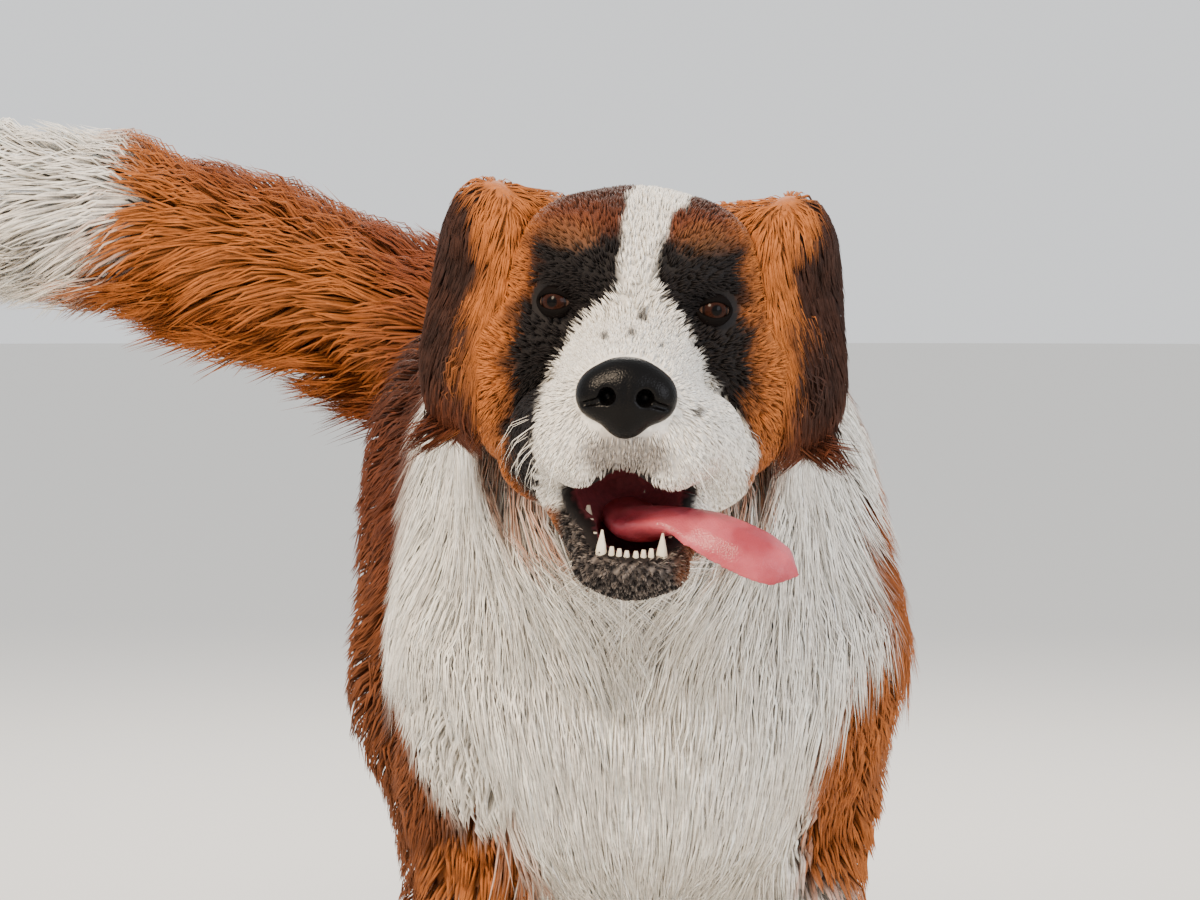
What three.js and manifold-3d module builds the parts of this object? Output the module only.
// A Saint Bernard, life size, walking towards the viewer with its mouth open, its tongue out on its left
// and its tail swung up to its right. Millimetres, +Z up, the dog faces -Y and its left side is +X.
//
// The flesh is a field: each form is a round limb or an oval lump, the forms melt into one another, and the
// coat adds its depth, smooth out to the tips of the hair. Each named piece of the body is the stretch of that
// field between two thin cuts.
import * as THREE from "three";
import { SimplifyModifier } from "three/addons/modifiers/SimplifyModifier.js";
import { mergeVertices } from "three/addons/utils/BufferGeometryUtils.js";
import Module from "manifold-3d";

const wasm = await Module();
wasm.setup();

// Driving dimensions of the dog under its coat
const WITHERS = 700; // the height at the shoulders
const BODY = 800; // from the breastbone to the seat bones
const CHEST_WIDTH = 292;
const HEAD = 318; // from the nose to the back of the skull
const EYES_APART = 104;
const STEP = 55; // how far each paw is set before or behind its even stance
const GAP = 0.4; // between pieces that touch

const v = (x, y, z) => new THREE.Vector3(x, y, z);

// Forms of flesh

// An oval limb from a to b, with a radius at each end. wide stretches it along each axis, coat is how deep
// its hair stands, and melt how softly it joins.
function limb(a, b, ra, rb, { wide = v(1, 1, 1), coat = 14, melt = 30 } = {}) {
  const along = b.clone().sub(a);
  return { a, b, along, size: Math.max(along.lengthSq(), 1e-6), ra, rb, wide, coat, melt };
}

// An egg-shaped lump with three half sizes.
const lump = (centre, half, hair) => limb(centre, centre, 1, 1, { ...hair, wide: half });

// A copy of a form on the other side of the plane x = 0.
function mirrored(form) {
  const flip = (p) => v(-p.x, p.y, p.z);
  const { wide, coat, melt } = form;
  return limb(flip(form.a), flip(form.b), form.ra, form.rb, { wide, coat, melt });
}

const bothSides = (...forms) => forms.flatMap((form) => [form, mirrored(form)]);

// How far a point lies outside one form.
function outside(form, p) {
  const { a, along, size, ra, rb, wide } = form;
  const dx = p.x - a.x;
  const dy = p.y - a.y;
  const dz = p.z - a.z;
  const share = Math.min(1, Math.max(0, (dx * along.x + dy * along.y + dz * along.z) / size));
  const qx = (dx - share * along.x) / wide.x;
  const qy = (dy - share * along.y) / wide.y;
  const qz = (dz - share * along.z) / wide.z;
  const reach = Math.hypot(qx, qy, qz);
  const slope = Math.hypot(qx / wide.x, qy / wide.y, qz / wide.z);
  return ((reach - ra - (rb - ra) * share) * reach) / Math.max(slope, 1e-6);
}

// The smaller of two distances, rounded where they are alike.
function soften(first, second, melt) {
  const near = Math.max(melt - Math.abs(first - second), 0) / melt;
  return Math.min(first, second) - (near * near * melt) / 4;
}

const COAT_SPREAD = 22; // how far the coat of one form shades into the next

// The field of groups of forms, which is negative inside the tips of their coat. Each group has its own frame.
const fieldOf = (groups) => (p) => {
  let skin = 1e3;
  let coat = 0;
  let weight = 0;
  for (const { toLocal, forms, hollows = [] } of groups) {
    const local = toLocal ? p.clone().applyMatrix4(toLocal) : p;
    for (const form of forms) {
      const d = outside(form, local);
      skin = soften(skin, d, form.melt);
      const pull = Math.exp(-Math.max(d, -150) / COAT_SPREAD);
      coat += pull * form.coat;
      weight += pull;
    }
    for (const hollow of hollows) skin = -soften(-skin, outside(hollow, local), hollow.melt);
  }
  return skin - coat / weight;
};

// The torso

const hairBack = { coat: 34, melt: 70 };
const hairShoulder = { coat: 28, melt: 70 };
const hairChest = { coat: 50, melt: 60 };
const RIBS_Y = -0.11 * BODY;
const CROUP_Y = 0.31 * BODY;
const torsoForms = [
  lump(v(0, RIBS_Y, 0.742 * WITHERS), v(CHEST_WIDTH / 2, 300, 172), hairBack),
  lump(v(0, -270, 0.69 * WITHERS), v(136, 130, 168), hairChest),
  lump(v(0, -340, 0.66 * WITHERS), v(84, 76, 100), hairChest),
  lump(v(0, 130, 0.78 * WITHERS), v(130, 210, 136), hairBack),
  lump(v(0, CROUP_Y, 0.805 * WITHERS), v(126, 142, 122), hairBack),
  ...bothSides(
    limb(v(46, -190, 0.925 * WITHERS), v(88, -320, 470), 56, 58, hairShoulder),
  ),
];

// The legs. side is 1 on the dog's left, and step is how far the paw is set forward.
const FORE_X = 108;
const HIND_X = 108;
const LEG_HAIR = { coat: 14, melt: 24 };
const FEATHER = { coat: 22, melt: 30 };

function foreJoints(side, step) {
  return {
    shoulder: v(side * 96, -312, 465),
    elbow: v(side * (FORE_X + 6), -212 - 0.3 * step, 378),
    wrist: v(side * FORE_X, -232 - 0.75 * step, 172),
    pastern: v(side * FORE_X, -252 - step, 66),
    paw: v(side * FORE_X, -282 - step, 36),
  };
}

function hindJoints(side, step) {
  return {
    hip: v(side * 80, 250, 585),
    knee: v(side * 124, 160 - 0.35 * step, 415),
    hock: v(side * (HIND_X + 2), 352 - 0.85 * step, 205),
    pastern: v(side * HIND_X, 338 - step, 66),
    paw: v(side * HIND_X, 304 - step, 36),
  };
}

// A paw of four knuckled toes on one broad pad.
const TOE_X = [-39, -14, 14, 39];
const TOE_Y = [-30, -50, -50, -30];
function pawForms(centre, size) {
  const hair = { coat: 7, melt: 10 };
  const at = (x, y, z) => v(centre.x + x * size, centre.y + y * size, z * size);
  return [
    lump(at(0, 6, 30), v(48, 58, 31).multiplyScalar(size), { ...hair, melt: 20 }),
    ...TOE_X.map((x, i) => limb(at(x * 0.8, TOE_Y[i] + 34, 36), at(x, TOE_Y[i], 21), 18, 16, hair)),
  ];
}

function foreLegForms(j) {
  return [
    limb(j.shoulder, j.elbow, 64, 58, { wide: v(0.86, 1, 1), coat: 24, melt: 50 }),
    limb(j.elbow, j.wrist, 51, 36, { ...LEG_HAIR, coat: 16 }),
    limb(j.elbow.clone().add(v(0, 42, -12)), j.elbow.clone().lerp(j.wrist, 0.8).add(v(0, 24, 0)), 16, 8, FEATHER),
    limb(j.wrist, j.pastern, 37, 33, LEG_HAIR),
    ...pawForms(j.paw, 1),
  ];
}

function hindLegForms(j) {
  return [
    limb(j.hip, j.knee, 116, 78, { wide: v(0.74, 1, 1), coat: 38, melt: 60 }),
    limb(j.knee, j.hock, 70, 37, { wide: v(0.8, 1, 1), coat: 18, melt: 40 }),
    limb(j.hock, j.pastern, 35, 32, LEG_HAIR),
    ...pawForms(j.paw, 0.94),
  ];
}

const legs = [
  { name: "fore_left", joints: foreJoints(1, STEP), forms: foreLegForms },
  { name: "fore_right", joints: foreJoints(-1, -0.4 * STEP), forms: foreLegForms },
  { name: "hind_left", joints: hindJoints(1, -0.6 * STEP), forms: hindLegForms },
  { name: "hind_right", joints: hindJoints(-1, 0.9 * STEP), forms: hindLegForms },
];

// The tail swings up to the dog's right
const tailLine = new THREE.CatmullRomCurve3(
  [
    v(0, 335, 628),
    v(-34, 425, 660),
    v(-115, 482, 702),
    v(-275, 522, 768),
    v(-410, 536, 812),
    v(-500, 536, 826),
    v(-566, 528, 834),
  ],
  false,
  "centripetal",
);
const TAIL_ROOT_RADIUS = 40;
const TAIL_TIP_RADIUS = 12;
const TAIL_STEPS = 8;
const tailRadius = (share) => THREE.MathUtils.lerp(TAIL_ROOT_RADIUS, TAIL_TIP_RADIUS, share);
// The plume hangs further below the tail than it stands above it.
const PLUME = 62;
const plumeDrop = (share) => PLUME * Math.sin(Math.PI * share ** 1.2);
const tailForms = Array.from({ length: TAIL_STEPS }, (_, i) => {
  const [from, to] = [i / TAIL_STEPS, (i + 1) / TAIL_STEPS];
  const [a, b] = [from, to].map((share) => tailLine.getPointAt(share));
  const [c, d] = [from, to].map((share) => tailLine.getPointAt(share).sub(v(0, 0, plumeDrop(share))));
  return [
    limb(a, b, tailRadius(from), tailRadius(to), { coat: 60, melt: 30 }),
    limb(c, d, 18, 14, { coat: 60, melt: 60 }),
  ];
}).flat();

// The head, in its own frame: its origin is midway between the eyes and -Y runs down the muzzle

const EYES = v(-39, -600, 740);
const HEAD_YAW = THREE.MathUtils.degToRad(-6.3);
const HEAD_ROLL = THREE.MathUtils.degToRad(3);
const headFrame = new THREE.Matrix4()
  .makeTranslation(EYES)
  .multiply(new THREE.Matrix4().makeRotationZ(HEAD_YAW))
  .multiply(new THREE.Matrix4().makeRotationY(HEAD_ROLL));

const face = { coat: 5, melt: 16 };
const muzzle = { coat: 4, melt: 14 };
const skull = { coat: 8, melt: 30 };
const SKULL_BACK = HEAD - 136;
const headForms = [
  lump(v(0, SKULL_BACK - 96, 8), v(88, 100, 66), skull),
  lump(v(0, 42, 22), v(72, 56, 50), skull),
  limb(v(0, -4, -44), v(0, -92, -64), 40, 38, { ...muzzle, wide: v(1.15, 1, 1) }),
  lump(v(0, -110, -66), v(36, 20, 36), muzzle),
  ...bothSides(
    lump(v(38, 24, 36), v(36, 36, 32), face),
    limb(v(36, 6, 25), v(66, 26, 17), 14, 12, face),
    limb(v(56, 24, -22), v(86, 84, -22), 23, 27, { ...face, melt: 20 }),
    lump(v(72, 66, -54), v(37, 54, 58), { coat: 14, melt: 36 }),
    limb(v(34, -84, -85), v(46, -22, -86), 29, 30, muzzle),
    lump(v(27, -99, -87), v(27, 23, 31), { ...muzzle, melt: 9 }),
    limb(v(46, -28, -94), v(60, 26, -108), 20, 24, { ...muzzle, melt: 18 }),
  ),
];
const sockets = bothSides(lump(v(EYES_APART / 2, -17, -1), v(19, 15, 12), { melt: 8 }));

// The lower jaw hangs open, swung a little to the dog's left
const JAW_SHIFT = 8;
const jawForms = [
  limb(v(48, 40, -106), v(22 + JAW_SHIFT, -70, -168), 22, 13, { ...muzzle, melt: 16 }),
  limb(v(-48, 40, -106), v(-22 + JAW_SHIFT, -70, -168), 22, 13, { ...muzzle, melt: 16 }),
  lump(v(JAW_SHIFT, -78, -174), v(35, 22, 13), { coat: 5, melt: 12 }),
  limb(v(0, 30, -132), v(0.9 * JAW_SHIFT, -60, -178), 32, 11, { ...muzzle, wide: v(1.3, 1, 1), melt: 24 }),
];

// The neck, in a thick ruff
const neckHair = { coat: 46, melt: 60 };
const neckForms = [
  limb(v(0, -205, 588), v(-28, -430, 702), 132, 86, neckHair),
  limb(v(-4, -290, 520), v(-32, -492, 640), 100, 62, neckHair),
];

const toHead = headFrame.clone().invert();
const body = [...torsoForms, ...neckForms, ...tailForms, ...legs.flatMap((leg) => leg.forms(leg.joints))];
const bodyFlesh = [{ forms: body }];
const headFlesh = [
  { forms: [...torsoForms, ...neckForms] },
  { toLocal: toHead, forms: headForms, hollows: sockets },
];
const bodyField = fieldOf(bodyFlesh);
const headField = fieldOf(headFlesh);
const jawField = fieldOf([{ toLocal: toHead, forms: jawForms }]);

// Meshing of a field

const CORNERS = Array.from({ length: 8 }, (_, i) => [i & 1, (i >> 1) & 1, (i >> 2) & 1]);
const EDGES = [];
for (let i = 0; i < 8; i++)
  for (const bit of [1, 2, 4]) if (!(i & bit)) EDGES.push([i, i | bit]);
const edgeBetween = (a, b) => EDGES.findIndex(([i, j]) => (i === a && j === b) || (i === b && j === a));
// Each face of a cell as its four corners in turn.
const FACES = [
  [0, 1, 3, 2],
  [4, 5, 7, 6],
  [0, 1, 5, 4],
  [2, 3, 7, 6],
  [0, 2, 6, 4],
  [1, 3, 7, 5],
];
const FACE_EDGES = FACES.map((f) => f.map((c, i) => edgeBetween(c, f[(i + 1) % 4])));

// Groups the crossed edges of a cell into the separate sheets of surface that pass through it.
function sheetsOf(inside) {
  const group = EDGES.map(([a, b], i) => (inside[a] !== inside[b] ? i : -1));
  const join = (a, b) => {
    const [from, to] = [group[a], group[b]];
    for (let i = 0; i < group.length; i++) if (group[i] === from) group[i] = to;
  };
  FACES.forEach((corners, f) => {
    const edges = FACE_EDGES[f];
    const crossed = edges.filter((e) => group[e] >= 0);
    if (crossed.length === 2) join(crossed[0], crossed[1]);
    if (crossed.length === 4)
      corners.forEach((c, i) => {
        if (inside[c]) join(edges[i], edges[(i + 3) % 4]);
      });
  });
  return group;
}

const SLOPE_STEP = 0.5;
function slopeOf(field, p) {
  const at = (x, y, z) => field(v(p.x + x, p.y + y, p.z + z));
  const e = SLOPE_STEP;
  return v(
    at(e, 0, 0) - at(-e, 0, 0),
    at(0, e, 0) - at(0, -e, 0),
    at(0, 0, e) - at(0, 0, -e),
  ).divideScalar(2 * e);
}

// The surface where the field is zero, as one vertex for each sheet in each cell that it crosses.
function meshField(field, low, high, cell) {
  const size = high.clone().sub(low);
  const count = [size.x / cell.x, size.y / cell.y, size.z / cell.z].map((n) => Math.ceil(n) + 1);
  const [nx, ny, nz] = count;
  const place = (i, j, k) => v(low.x + i * cell.x, low.y + j * cell.y, low.z + k * cell.z);
  const index = (i, j, k) => i + nx * (j + ny * k);
  const values = new Float32Array(nx * ny * nz);
  for (let k = 0; k < nz; k++)
    for (let j = 0; j < ny; j++)
      for (let i = 0; i < nx; i++) {
        const edge = i === 0 || j === 0 || k === 0 || i === nx - 1 || j === ny - 1 || k === nz - 1;
        const d = field(place(i, j, k));
        values[index(i, j, k)] = edge ? Math.max(d, 1) : d;
      }
  const points = [];
  const cells = new Map();
  for (let k = 0; k < nz - 1; k++)
    for (let j = 0; j < ny - 1; j++)
      for (let i = 0; i < nx - 1; i++) {
        const d = CORNERS.map(([a, b, c]) => values[index(i + a, j + b, k + c)]);
        const inside = d.map((x) => x < 0);
        if (inside.every((x) => x === inside[0])) continue;
        const group = sheetsOf(inside);
        const made = new Map();
        const sums = new Map();
        EDGES.forEach(([a, b], e) => {
          if (group[e] < 0) return;
          const t = d[a] / (d[a] - d[b]);
          const from = place(i + CORNERS[a][0], j + CORNERS[a][1], k + CORNERS[a][2]);
          const to = place(i + CORNERS[b][0], j + CORNERS[b][1], k + CORNERS[b][2]);
          const sum = sums.get(group[e]) ?? { point: v(0, 0, 0), n: 0 };
          sum.point.add(from.lerp(to, t));
          sum.n += 1;
          sums.set(group[e], sum);
        });
        for (const [g, { point, n }] of sums) {
          made.set(g, points.length);
          points.push(point.divideScalar(n));
        }
        cells.set(index(i, j, k), group.map((g) => (g < 0 ? -1 : made.get(g))));
      }
  const most = 0.35 * Math.min(cell.x, cell.y, cell.z);
  for (const p of points) {
    const slope = slopeOf(field, p);
    const move = -field(p) / Math.max(slope.lengthSq(), 0.2);
    p.addScaledVector(slope, THREE.MathUtils.clamp(move, -most, most));
  }
  const faces = [];
  const steps = [
    [1, 0, 0],
    [0, 1, 0],
    [0, 0, 1],
  ];
  for (let k = 0; k < nz - 1; k++)
    for (let j = 0; j < ny - 1; j++)
      for (let i = 0; i < nx - 1; i++)
        steps.forEach((step, axis) => {
          const here = values[index(i, j, k)] < 0;
          const next = values[index(i + step[0], j + step[1], k + step[2])] < 0;
          if (here === next) return;
          const u = steps[(axis + 1) % 3];
          const w = steps[(axis + 2) % 3];
          const ring = [
            [0, 0],
            [1, 0],
            [1, 1],
            [0, 1],
          ].map(([a, b]) => {
            const back = [0, 1, 2].map((n) => a * u[n] + b * w[n]);
            const cellGroup = cells.get(index(i - back[0], j - back[1], k - back[2]));
            const corner = back[0] + 2 * back[1] + 4 * back[2];
            return cellGroup[edgeBetween(corner, corner + (1 << axis))];
          });
          if (!here) ring.reverse();
          const [a, b, c, d] = ring;
          const short = points[a].distanceTo(points[c]) < points[b].distanceTo(points[d]);
          faces.push(...(short ? [a, b, c, a, c, d] : [a, b, d, b, c, d]));
        });
  return new THREE.BufferGeometry()
    .setAttribute("position", new THREE.Float32BufferAttribute(points.flatMap((p) => p.toArray()), 3))
    .setIndex(faces);
}

// Solids

// A closed geometry as a solid, welded where its faces meet.
function solid(geometry) {
  const bare = new THREE.BufferGeometry().setAttribute("position", geometry.attributes.position);
  if (geometry.index) bare.setIndex(geometry.index);
  const welded = mergeVertices(bare, 1e-3);
  const made = new wasm.Mesh({
    numProp: 3,
    vertProperties: new Float32Array(welded.attributes.position.array),
    triVerts: new Uint32Array(welded.index.array),
  });
  return new wasm.Manifold(made);
}

function geometryOf(shape) {
  const { vertProperties, triVerts } = shape.getMesh();
  return new THREE.BufferGeometry()
    .setAttribute("position", new THREE.BufferAttribute(vertProperties, 3))
    .setIndex(new THREE.BufferAttribute(triVerts, 1));
}

// The largest closed surface of a solid, filled where it had a sealed hollow. It is taken twice, because
// rounding the corners to 32 bits can part two pieces that touched in a point.
const widestOf = (shape) => shape.decompose().reduce((a, b) => (b.volume() > a.volume() ? b : a));
const largest = (shape) => widestOf(solid(geometryOf(widestOf(shape))));

// A copy of a solid that is fatter all round, to cut its place in a neighbour.
function grown(shape, by) {
  const geometry = geometryOf(shape);
  geometry.computeVertexNormals();
  const { position, normal } = geometry.attributes;
  for (let i = 0; i < position.count; i++) {
    const at = v().fromBufferAttribute(position, i);
    position.setXYZ(i, ...at.addScaledVector(v().fromBufferAttribute(normal, i), by));
  }
  return solid(geometry);
}

const simplifier = new SimplifyModifier();

// The solid of a field in a box, with about as many triangles as asked.
async function carve(field, low, high, cell, triangles) {
  const fine = meshField(field, low, high, v(cell, cell, cell));
  const spare = fine.attributes.position.count - triangles / 2;
  return solid(spare > 0 ? await simplifier.modify(fine, Math.round(spare)) : fine);
}

// Keeps what lies on the side that the normal points to, clear of the plane by half a gap.
function keep(shape, point, normal) {
  const n = normal.clone().normalize();
  return shape.trimByPlane(n.toArray(), n.dot(point) + GAP / 2);
}

// A closed skin over rings of points. A ring of one point is a tip.
function loft(rings) {
  const points = rings.flat();
  const starts = rings.map((_, i) => rings.slice(0, i).flat().length);
  const faces = [];
  const sides = Math.max(...rings.map((ring) => ring.length));
  for (let i = 0; i + 1 < rings.length; i++)
    for (let j = 0; j < sides; j++) {
      const next = (j + 1) % sides;
      const [a, b] = [j, next].map((n) => starts[i] + (rings[i].length > 1 ? n : 0));
      const [c, d] = [j, next].map((n) => starts[i + 1] + (rings[i + 1].length > 1 ? n : 0));
      if (a !== b) faces.push(a, b, d);
      if (c !== d) faces.push(a, d, c);
    }
  for (let j = 1; j + 1 < sides; j++) {
    if (rings[0].length > 1) faces.push(0, j + 1, j);
    const last = starts[rings.length - 1];
    if (rings[rings.length - 1].length > 1) faces.push(last, last + j, last + j + 1);
  }
  const corners = new THREE.Float32BufferAttribute(points.flatMap((p) => p.toArray()), 3);
  const closed = (index) => solid(new THREE.BufferGeometry().setAttribute("position", corners).setIndex(index));
  const made = closed(faces);
  return made.volume() > 0 ? made : closed(faces.toReversed());
}

// A block across the dog, with its side outline as points of y and z.
const ACROSS = new THREE.Matrix4().makeBasis(v(0, 1, 0), v(0, 0, 1), v(1, 0, 0));
function block(outline, from, to) {
  const shape = new THREE.Shape(outline.map(([y, z]) => new THREE.Vector2(y, z)));
  const geometry = new THREE.ExtrudeGeometry(shape, { depth: to - from, bevelEnabled: false });
  return solid(geometry.applyMatrix4(ACROSS).translate(from, 0, 0));
}

// An egg shape set in a frame.
function egg(centre, half, frame, detail = 14) {
  const geometry = new THREE.SphereGeometry(1, detail, Math.round(detail * 0.65));
  return solid(geometry.scale(...half).translate(...centre).applyMatrix4(frame));
}

// The trunk, parted from the legs, the head and the tail

const NECK_BASE = { point: v(0, -330, 620), normal: v(0, -280, 200) };
const HEAD_BACK = {
  point: v(0, 150, 60).applyMatrix4(headFrame),
  normal: v(0, -210, 90).transformDirection(headFrame),
};
const TAIL_CUTS = [0.17, 0.45, 0.75].map((share) => ({
  point: tailLine.getPointAt(share),
  normal: tailLine.getTangentAt(share),
}));
const front = (shape, { point, normal }) => keep(shape, point, normal);
const behind = (shape, { point, normal }) => keep(shape, point, normal.clone().negate());

const FORE_OUTLINE = [
  [-450, -20],
  [-120, -20],
  [-120, 330],
  [-190, 372],
  [-330, 396],
  [-450, 380],
];
const HIND_OUTLINE = [
  [10, -20],
  [520, -20],
  [520, 575],
  [230, 560],
  [150, 470],
  [60, 400],
  [10, 330],
];
const WIDEST = 260;
const limbs = [
  { side: 1, inner: 46, outline: FORE_OUTLINE, cuts: [172, 70], parts: ["forearm", "pastern", "paw"] },
  { side: -1, inner: 46, outline: FORE_OUTLINE, cuts: [172, 70], parts: ["forearm", "pastern", "paw"] },
  { side: 1, inner: 20, outline: HIND_OUTLINE, cuts: [400, 205, 68], parts: ["thigh", "shank", "hock", "paw"] },
  { side: -1, inner: 20, outline: HIND_OUTLINE, cuts: [400, 205, 68], parts: ["thigh", "shank", "hock", "paw"] },
];
const shapes = {};
const FLOOR = { point: v(0, 0, 0), normal: v(0, 0, 1) };
const thighRegions = [];
const trunk = await carve(bodyField, v(-250, -600, 240), v(250, 470, 870), 13, 2000);
let torso = behind(behind(trunk, TAIL_CUTS[0]), NECK_BASE);
for (const [i, { side, inner, outline, cuts, parts }] of limbs.entries()) {
  const [from, to] = side > 0 ? [inner, WIDEST] : [-WIDEST, -inner];
  const region = block(outline, from, to);
  torso = torso.subtract(grown(region, 2 * GAP));
  if (outline === HIND_OUTLINE) thighRegions.push(region);
  const ys = outline.map(([y]) => y);
  const zs = outline.map(([, z]) => z);
  const low = v(from, Math.min(...ys), -30);
  const high = v(to, Math.max(...ys), Math.max(...zs));
  const whole = await carve(bodyField, low.clone().subScalar(30), high.clone().addScalar(30), 9, 700);
  let leg = front(whole.intersect(region), FLOOR);
  for (const [n, z] of cuts.entries()) {
    const level = { point: v(0, 0, z), normal: v(0, 0, 1) };
    shapes[`${legs[i].name}_${parts[n]}`] = largest(front(leg, level));
    leg = behind(leg, level);
  }
  shapes[`${legs[i].name}_paw`] = largest(leg);
}
shapes.torso = largest(torso);
shapes.neck = behind(front(trunk, NECK_BASE), HEAD_BACK);

let tail = await carve(bodyField, v(-680, 330, 460), v(60, 660, 960), 11, 600);
for (const thigh of thighRegions) tail = tail.subtract(grown(thigh, 2 * GAP));
["tail_root", "tail_middle", "tail_tip"].forEach((name, i) => {
  const piece = front(tail, TAIL_CUTS[i]);
  shapes[name] = largest(i < 2 ? behind(piece, TAIL_CUTS[i + 1]) : piece);
});

// The head

let head = front(await carve(headField, v(-200, -780, 480), v(130, -380, 860), 5.5, 3000), HEAD_BACK);
let jaw = await carve(jawField, v(-140, -720, 520), v(60, -500, 690), 5, 600);

// The nose leather, with its nostrils
const NOSE = v(0, -128, -54);
const noseForms = [
  lump(NOSE, v(29, 16, 23), { coat: 0, melt: 8 }),
  lump(NOSE.clone().add(v(0, 2, -14)), v(15, 13, 17), { coat: 0, melt: 10 }),
  ...bothSides(lump(NOSE.clone().add(v(20, 1, -3)), v(13, 13, 15), { coat: 0, melt: 7 })),
];
const noseField = fieldOf([{ forms: noseForms }]);
const onHead = (shape) => shape.transform(headFrame.elements);
let nose = onHead(await carve(noseField, v(-40, -152, -90), v(40, -100, -20), 2.6, 340));
head = head.subtract(grown(nose, 0.5)).subtract(grown(jaw, 0.6));
for (const side of [1, -1]) {
  nose = nose.subtract(egg(v(side * 13, -141, -57), v(5, 9, 5.5), headFrame, 8));
  nose = nose.subtract(egg(v(side * 20, -136, -60), v(6, 8, 3), headFrame, 6));
}
shapes.nose = largest(nose);

// The mouth, open between the flews and the lower lip
head = head.subtract(egg(v(3, -48, -120), v(36, 64, 27), headFrame, 14));
jaw = jaw.subtract(egg(v(JAW_SHIFT, -40, -150), v(25, 52, 19), headFrame, 12));

// The eyes, each behind two lids that part in an almond
const EYE_RADIUS = 12.3;
const LID = 2.2;
const EYE_TURN = THREE.MathUtils.degToRad(17);
for (const [name, side] of [["eye_left", 1], ["eye_right", -1]]) {
  const frame = headFrame
    .clone()
    .multiply(new THREE.Matrix4().makeTranslation((side * EYES_APART) / 2, 4, 0))
    .multiply(new THREE.Matrix4().makeRotationZ(side * EYE_TURN));
  const almond = new THREE.Shape();
  almond.moveTo(-10, -0.5);
  almond.quadraticCurveTo(0, 10.5, 10, 0.5);
  almond.quadraticCurveTo(0, -11, -10, -0.5);
  const opening = new THREE.ExtrudeGeometry(almond, { depth: 40, bevelEnabled: false, curveSegments: 6 });
  opening.rotateX(Math.PI / 2).translate(0, 0, 0).applyMatrix4(frame);
  head = head.add(egg(v(0, 0, 0), v(1, 1, 1).multiplyScalar(EYE_RADIUS + LID), frame, 14));
  head = head.subtract(egg(v(0, 0, 0), v(1, 1, 1).multiplyScalar(EYE_RADIUS + GAP), frame, 14));
  head = head.subtract(solid(opening));
  shapes[name] = egg(v(0, 0, 0), v(1, 1, 1).multiplyScalar(EYE_RADIUS), frame, 14);
}

// The ears hang from high on the skull
const earForms = [
  limb(v(-30, -10, -14), v(8, 2, -6), 30, 24, { coat: 5, melt: 20 }),
  limb(v(14, 6, -26), v(26, 12, -104), 47, 40, { wide: v(0.3, 1, 1), coat: 12, melt: 20 }),
];
for (const [name, side] of [["ear_left", 1], ["ear_right", -1]]) {
  const frame = headFrame
    .clone()
    .multiply(new THREE.Matrix4().makeTranslation(side * 92, 70, 56))
    .multiply(new THREE.Matrix4().makeRotationZ(side * -0.6));
  const forms = side > 0 ? earForms : earForms.map(mirrored);
  const hollows = [lump(v(side * -4, -10, -46), v(13, 24, 34), { melt: 8 })];
  const field = fieldOf([{ forms, hollows }]);
  const ear = await carve(field, v(-70, -70, -190), v(70, 90, 50), 6, 340);
  shapes[name] = largest(ear.transform(frame.elements));
  head = head.subtract(grown(shapes[name], 0.8)).subtract(grown(shapes[name], 0.3));
  shapes.neck = shapes.neck.subtract(grown(shapes[name], 0.8));
}

// The tongue lolls out over the lip on the left
const tongueLine = new THREE.CatmullRomCurve3([
  v(16, 6, -140),
  v(24, -40, -136),
  v(44, -80, -136),
  v(74, -98, -147),
  v(100, -101, -158),
  v(121, -98, -171),
]);
const TONGUE_WIDE = 22;
const TONGUE_THICK = 4.5;
const TONGUE_RINGS = 12;
const tongueRings = Array.from({ length: TONGUE_RINGS + 1 }, (_, i) => {
  const share = i / TONGUE_RINGS;
  const centre = tongueLine.getPointAt(share);
  const along = tongueLine.getTangentAt(share);
  const twist = THREE.MathUtils.smoothstep(share, 0.2, 0.75);
  const up = v(0, 0, 1).lerp(v(0.1, -0.75, 0.62), twist).projectOnPlane(along).normalize();
  const across = up.clone().cross(along).normalize();
  const taper = Math.sqrt(Math.max(0, 1 - Math.max(0, (share - 0.8) / 0.2) ** 2));
  if (i === 0 || i === TONGUE_RINGS) return [centre];
  return Array.from({ length: 10 }, (_, n) => {
    const turn = (n / 10) * 2 * Math.PI;
    const wide = TONGUE_WIDE * taper * Math.cos(turn);
    const arch = -7 * twist * (wide / TONGUE_WIDE) ** 2;
    return centre
      .clone()
      .addScaledVector(across, wide)
      .addScaledVector(up, TONGUE_THICK * Math.sin(turn) * (0.5 + 0.5 * taper) + arch);
  });
});
const tongue = onHead(loft(tongueRings));

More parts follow.
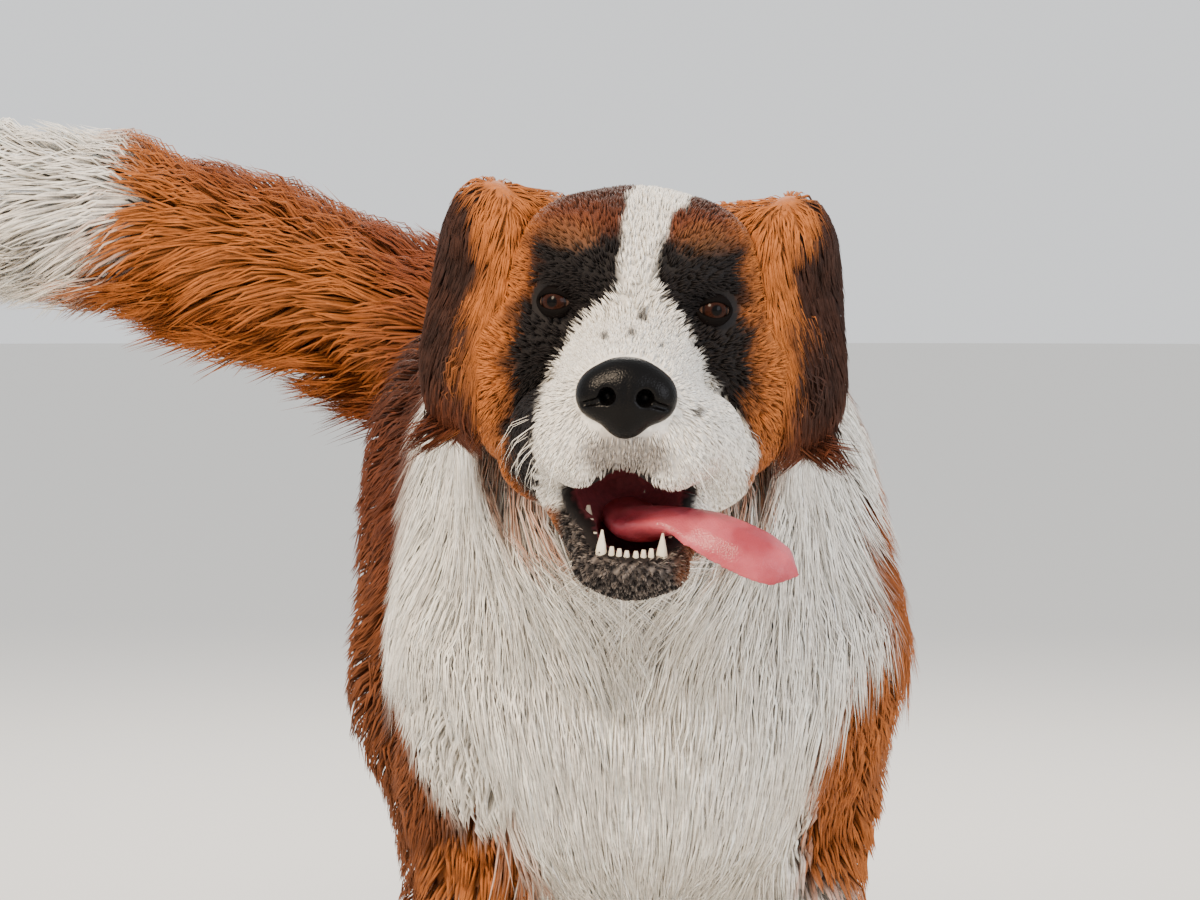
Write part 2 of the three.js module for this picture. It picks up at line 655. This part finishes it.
// The lower teeth stand in the jaw behind its lip
function tooth(x, y, z, radius, height, lean) {
  const ring = (lift, r) =>
    Array.from({ length: 6 }, (_, n) => {
      const turn = (n / 6) * 2 * Math.PI;
      return v(x + r * Math.cos(turn), y + r * Math.sin(turn) + lean * lift, z + lift);
    });
  return onHead(loft([ring(-8, radius), ring(0.4 * height, radius * 0.8), [v(x, y + lean * height, z + height)]]));
}
const CANINE_X = 20;
for (const side of [1, -1]) {
  jaw = jaw.add(tooth(JAW_SHIFT + side * CANINE_X, -84, -164, 4.5, 17, -0.15));
  for (const i of [0, 1, 2]) jaw = jaw.add(tooth(JAW_SHIFT + side * (3 + 5 * i), -90 + 1.5 * i, -164, 2.8, 8, -0.2));
  for (const i of [0, 1, 2]) jaw = jaw.add(tooth(JAW_SHIFT + side * (25 + 3 * i), -66 + 14 * i, -158 + 8 * i, 4, 9, 0));
}

shapes.tongue = tongue;
shapes.lower_jaw = largest(jaw.subtract(grown(tongue, 0.6)));
shapes.head = largest(head.subtract(grown(tongue, 0.6)));
shapes.neck = largest(shapes.neck.subtract(grown(jaw, 0.6)));

// The scene

const coats = { hair: "#8a4a22", white: "#ebe4d8", black: "#1b1715", pink: "#c9727a", eye: "#3a1f12" };
const finish = (colour, roughness) => new THREE.MeshStandardMaterial({ color: colour, roughness, metalness: 0 });
const materials = {
  nose: finish(coats.black, 0.4),
  tongue: finish(coats.pink, 0.45),
  eye_left: finish(coats.eye, 0.1),
  eye_right: finish(coats.eye, 0.1),
};
const box = new THREE.Box3();
for (const shape of Object.values(shapes)) {
  const { min, max } = shape.boundingBox();
  box.expandByPoint(v(...min)).expandByPoint(v(...max));
}
const origin = box.getCenter(v(0, 0, 0)).setZ(box.min.z);
const dog = new THREE.Group();
for (const [name, shape] of Object.entries(shapes)) {
  const centred = largest(shape.translate(...origin.clone().negate()));
  const mesh = new THREE.Mesh(geometryOf(centred), materials[name] ?? finish(coats.hair, 0.8));
  mesh.name = name;
  dog.add(mesh);
}

export default dog;
